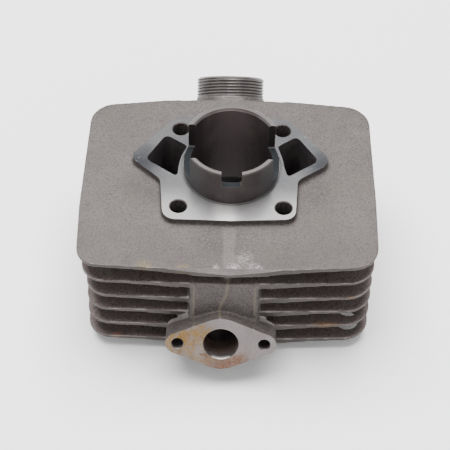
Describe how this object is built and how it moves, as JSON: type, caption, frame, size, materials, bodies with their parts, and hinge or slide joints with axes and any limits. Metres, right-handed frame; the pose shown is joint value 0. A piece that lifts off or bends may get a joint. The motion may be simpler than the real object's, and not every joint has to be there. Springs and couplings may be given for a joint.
{
  "type": "engine cylinder barrel",
  "caption": "Finned aluminium cylinder barrel with iron liner for a small two-stroke engine: gasket pad, transfer passages, flanged intake, threaded exhaust stub.",
  "frame": {"origin": "centre of the bore at the head-side face", "axes": "+Z along the bore to the crankcase, +Y to the exhaust side, -Y to the intake flange"},
  "size_m": [0.1421, 0.1588, 0.0877],
  "materials": {
    "jacket": "sand-cast, machined on its faces",
    "liner": "turned, dark"
  },
  "bodies": {
    "root": {"finned_jacket": "jacket", "cylinder_liner": "liner"}
  },
  "joints": []
}
